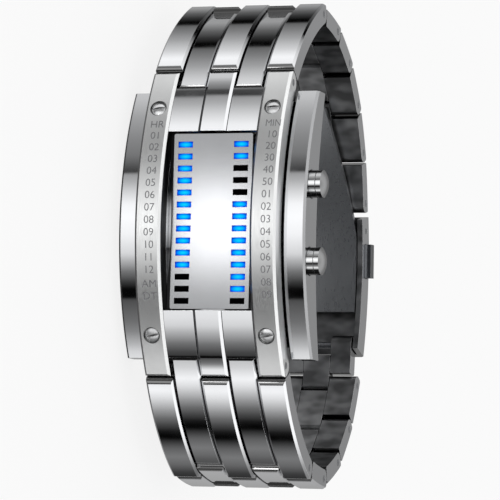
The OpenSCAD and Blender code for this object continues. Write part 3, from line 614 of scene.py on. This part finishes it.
def paper_floor():
    """Matt white paper: it shows plain white, and keeps a share of the shadow that falls on it."""
    material, tree, _ = new_material("white_paper")
    paper = node(tree, "ShaderNodeBsdfPrincipled", Base_Color=linear("#FCFCFC"), Roughness=0.9)
    path = node(tree, "ShaderNodeLightPath").outputs
    seen = node(tree, "ShaderNodeMath", operation="MAXIMUM", in0=path["Is Camera Ray"],
                in1=path["Is Glossy Ray"])
    seen = node(tree, "ShaderNodeMath", operation="MAXIMUM", in0=seen, in1=path["Is Transmission Ray"])
    share = node(tree, "ShaderNodeMath", operation="MULTIPLY", in0=seen, in1=PAPER_WHITE)
    white = node(tree, "ShaderNodeEmission", Color=grey(1.0), Strength=1.0)
    mix = node(tree, "ShaderNodeMixShader", Fac=share, in1=paper, in2=white)
    node(tree, "ShaderNodeOutputMaterial", Surface=mix)
    shape = bmesh.new()
    bmesh.ops.create_grid(shape, x_segments=1, y_segments=1, size=PAPER_HALF)
    floor = add_mesh("floor", shape, material)
    floor.visible_glossy = False


def softbox(name, at, towards, size, radiance):
    """A soft square lamp whose face has the given brightness."""
    data = bpy.data.lights.new(name, "AREA")
    data.shape = "RECTANGLE"
    data.size = size
    data.size_y = size
    data.energy = radiance * math.pi * size * size
    lamp = bpy.data.objects.new(name, data)
    lamp.location = at
    lamp.rotation_euler = (Vector(towards) - Vector(at)).to_track_quat("-Z", "Y").to_euler()
    lamp.visible_camera = False
    bpy.context.scene.collection.objects.link(lamp)


def photo_camera():
    """The photograph's view, rolled so that 12 o'clock is up."""
    data = bpy.data.cameras.new("camera")
    data.lens = LENS_MM
    data.sensor_width = SENSOR_MM
    camera = bpy.data.objects.new("camera", data)
    axes = [Vector(axis).normalized() for axis in (CAMERA_RIGHT, CAMERA_UP, CAMERA_BACK)]
    turn = Matrix(axes).transposed()
    camera.matrix_world = Matrix.Translation(CAMERA_AT) @ turn.to_4x4()
    bpy.context.scene.collection.objects.link(camera)
    bpy.context.scene.camera = camera


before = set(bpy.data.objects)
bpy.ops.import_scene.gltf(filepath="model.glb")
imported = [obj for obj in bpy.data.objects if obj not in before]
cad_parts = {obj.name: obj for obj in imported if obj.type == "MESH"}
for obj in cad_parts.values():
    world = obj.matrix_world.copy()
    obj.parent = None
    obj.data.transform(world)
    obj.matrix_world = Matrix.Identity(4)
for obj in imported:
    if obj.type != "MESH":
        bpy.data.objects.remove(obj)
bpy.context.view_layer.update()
plate_low, plate_high = [Vector(corner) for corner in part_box("display_plate")]
plate = (plate_low + plate_high) / 2
bpy.context.scene.view_settings.view_transform = "Standard"

photo_camera()
studio_world()
paper_floor()

# Bezel bars: stainless steel ground on a belt, a pale even sheen with long fine lines, black painted shade on
# their walls beside the plate, and lighter painted shade on their bevels
wall_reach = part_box("bezel_bar_right")[0][2] - plate.z + WALL_MARGIN * MM
bar_steel = brushed_steel("brushed_steel_bars", "#F2F3F3", rough=0.35, grain=0.10,
                          shaded_walls=(plate.z, wall_reach))

# Clasp leaves: rolled strip ground on a belt, with a coarser line, toned darker as painted shade inside the
# loop
leaf_steel = brushed_steel("brushed_steel_leaves", "#A2A4A7", rough=0.32, grain=0.14)

# Case back: stainless steel ground on a belt, with plain lines and a dull shine
back_steel = brushed_steel("brushed_steel_back", "#B4B6B9", rough=0.30, grain=0.12)

# Display plate: steel blasted with fine grit, whose marks are too short and shallow to show as lines, so that
# it blurs the lamp into a white cloud
plate_steel = brushed_steel("blasted_steel_plate", "#939496", rough=0.2, grain=0.06, length=0.2,
                            depth=0.00005, vary=0.01)

# Links and clasp cover: mirror-polished, with hard bands of white, grey and black, rubbed satin and painted
# shade inside, and a grey painted reflection on rounded ends
link_steel = polished_steel("polished_steel_links", "#DCDDDF", pitch=(10, -3), columns=plate.z, inside=True)
cover_steel = polished_steel("polished_steel_clasp", "#DCDDDF", inside=True)

# Case and centre bars: mirror-polished, their bands set apart from the links', with crisp edges
case_steel = polished_steel("polished_steel_case", "#DADBDD", edge=0.06, pitch=(-17, 15.5), fade=(23.5, 26))

# Side guards: mirror-polished, with painted shade on the bevels that line their front
guard_steel = polished_steel("polished_steel_guards", "#DDDEE0", edge=0.08, bevels=0.45)

# Pushers: turned and polished, bright along the middle, with near black painted shade on their rims above and
# below and grey painted shade on their satin ends
cap_steel = polished_steel("polished_steel_caps", "#E4E5E6", edge=0.05, ends=0.34, rims=0.05)

# Clasp buttons: cast steel, half polished, with blurred reflections, toned dark as painted shade on their
# sides
button_steel = polished_steel("cast_steel_buttons", "#77797C", rough=0.16, edge=0.12)

# Screws: turned and tumbled steel, a soft pale shine without clear reflections
screw_steel = polished_steel("turned_steel_screws", "#E6E7E8", rough=0.36, edge=0.12)

# Pins and coils: drawn steel, a grey shine with lines along the pin
pin_steel = brushed_steel("drawn_steel_pins", "#9C9EA2", rough=0.28, grain=0.05, axis=2, length=3.0)

# Scales: steel burnt by a laser, a flat grey with no shine
engraving = plain("laser_engraving", "#87878A", rough=0.7, gloss=0.0)

# Windows: cast acrylic, smoked to plain black, or clear and lit from behind
smoked = plain("cast_smoked_acrylic", "#020203", rough=0.12, gloss=0.0)
lit = lit_acrylic("cast_clear_acrylic", *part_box("lit_windows"))

# Light mask and module frame: moulded ABS, matt black with a fine grain
mask_plastic = plain("moulded_black_abs", "#101012", rough=0.5, grain=0.2)

# Light chips: cast epoxy, warm white with a soft shine
chip_plastic = plain("cast_white_epoxy", "#EDECE4", rough=0.35)

# Circuit board: solder resist over copper, dark green with a lacquer's shine
board = plain("green_solder_resist", "#12502C", rough=0.3)

# Button cell: drawn and nickel-plated steel, bright, with short coarse lines
cell_steel = brushed_steel("drawn_nickel_steel", "#C9CACC", rough=0.22, grain=0.3, length=2.0)

# Cell contact and pusher bushes: drawn brass, a soft yellow shine
brass = plain("drawn_brass", "#C9A35A", rough=0.3, metallic=1.0)

# Gasket and seals: moulded nitrile rubber, dull black
seal_rubber = plain("moulded_nitrile_rubber", "#141414", rough=0.7, grain=0.15)

finishes = {
    bar_steel: ["bezel_bar_left", "bezel_bar_right"],
    case_steel: ["case_body", "centre_bar_top", "centre_bar_bottom"],
    guard_steel: ["side_guard_left", "side_guard_right"],
    cap_steel: ["pusher_upper", "pusher_lower"],
    button_steel: ["clasp_button_left", "clasp_button_right"],
    screw_steel: ["bezel_screws", "case_back_screws"],
    plate_steel: ["display_plate"],
    lit: ["lit_windows"],
    smoked: ["dark_windows"],
    mask_plastic: ["light_mask", "module_frame"],
    chip_plastic: ["led_chips"],
    board: ["circuit_board"],
    cell_steel: ["battery"],
    brass: ["battery_contact", "pusher_bushes"],
    seal_rubber: ["case_gasket", "pusher_seals"],
    back_steel: ["case_back"],
    leaf_steel: ["clasp_inner_leaf", "clasp_middle_leaf"],
    cover_steel: ["clasp_cover"],
    link_steel: [f"link_{side}_{n}" for side in ("top", "bottom") for n in range(1, 7)],
    pin_steel: ["lug_pins", "leaf_pin", "cover_pin", "spring_bar"] + [f"pin_top_{n}" for n in range(1, 7)]
               + [f"pin_bottom_{n}" for n in range(1, 6)],
}
for material, names in finishes.items():
    for name in names:
        wear(name, material)

for name, texts, bar, shift in (("scale_hours", HOUR_LABELS, "bezel_bar_left", HOUR_SHIFT),
                                ("scale_minutes", MINUTE_LABELS, "bezel_bar_right", MINUTE_SHIFT)):
    low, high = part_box(bar)
    engraved_labels(name, texts, (low[2] + high[2]) / 2 / MM + shift, engraving)

spring_tree = coil_tree(pin_steel)
for which in ("upper", "lower"):
    coil_spring(f"pusher_coil_{which}", f"pusher_spring_{which}", spring_tree, pin_steel)

# A soft lamp whose mirror image lies on the middle of the display plate
back = Vector(CAMERA_BACK)
mirror_way = Vector((-back.x, back.y, -back.z))
softbox("front_softbox", plate + LAMP_AWAY * mirror_way, plate, LAMP_SIZE, LAMP_RADIANCE)
